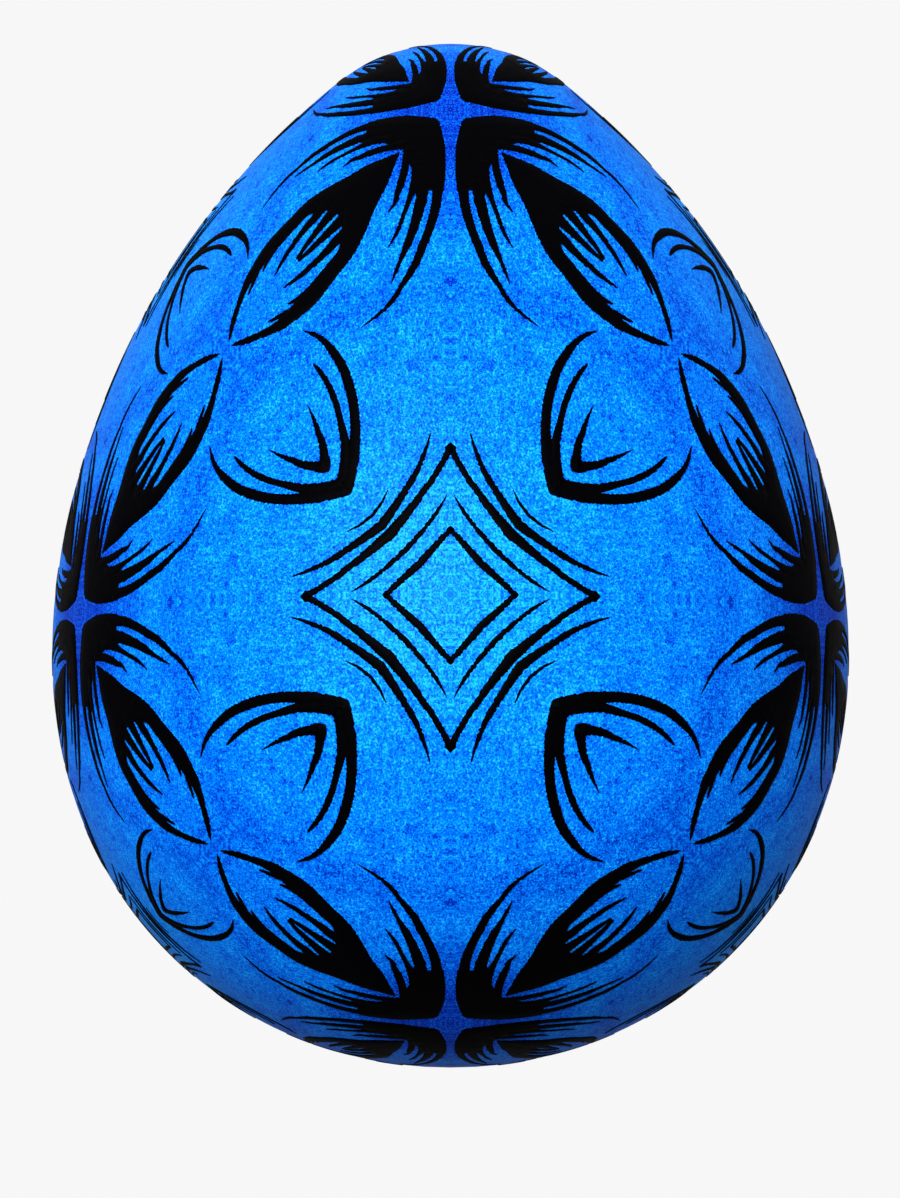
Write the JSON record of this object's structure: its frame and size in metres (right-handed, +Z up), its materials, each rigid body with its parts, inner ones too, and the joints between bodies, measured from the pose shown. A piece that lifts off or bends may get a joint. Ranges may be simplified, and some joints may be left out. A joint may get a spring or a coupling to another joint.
{
  "type": "decorated egg",
  "caption": "Blown hen's egg dyed blue and drawn all over with black diamonds, petals, leaves and brush-like lashes, with an open hole at the crown.",
  "frame": {"origin": "lowest point of the egg, at the base of its axis", "axes": "+Z up along the egg's axis from the blunt base to the narrow crown; the middle of the front of the drawing faces -Y"},
  "size_m": [0.0442, 0.0442, 0.057],
  "materials": {
    "dyed_shell": "hen's eggshell dyed azure blue, finely mottled, with a satin varnish",
    "black_stroke": "black wax and ink stroke with a grainy edge, satin",
    "membrane": "dry translucent shell membrane",
    "beeswax": "smooth melted beeswax"
  },
  "bodies": {
    "root": {"eggshell": "dyed_shell", "outer_membrane": "membrane", "inner_membrane": "membrane", "base_wax_plug": "beeswax", "front_inner_diamonds": "black_stroke", "front_middle_diamonds": "black_stroke", "front_four_point_stars": "black_stroke", "front_star_twins": "black_stroke", "front_elbow_ticks": "black_stroke", "front_petal_outlines": "black_stroke", "front_petal_echoes": "black_stroke", "front_petal_chevrons": "black_stroke", "front_leaf_outlines": "black_stroke", "front_leaf_tips": "black_stroke", "front_long_veins": "black_stroke", "front_short_veins": "black_stroke", "front_corner_pads": "black_stroke", "front_outer_lashes": "black_stroke", "front_second_lashes": "black_stroke", "front_third_lashes": "black_stroke", "front_inner_lashes": "black_stroke", "back_inner_diamonds": "black_stroke", "back_middle_diamonds": "black_stroke", "back_four_point_stars": "black_stroke", "back_star_twins": "black_stroke", "back_elbow_ticks": "black_stroke", "back_petal_outlines": "black_stroke", "back_petal_echoes": "black_stroke", "back_petal_chevrons": "black_stroke", "back_leaf_outlines": "black_stroke", "back_leaf_tips": "black_stroke", "back_long_veins": "black_stroke", "back_short_veins": "black_stroke", "back_corner_pads": "black_stroke", "back_outer_lashes": "black_stroke", "back_second_lashes": "black_stroke", "back_third_lashes": "black_stroke", "back_inner_lashes": "black_stroke"}
  },
  "joints": []
}
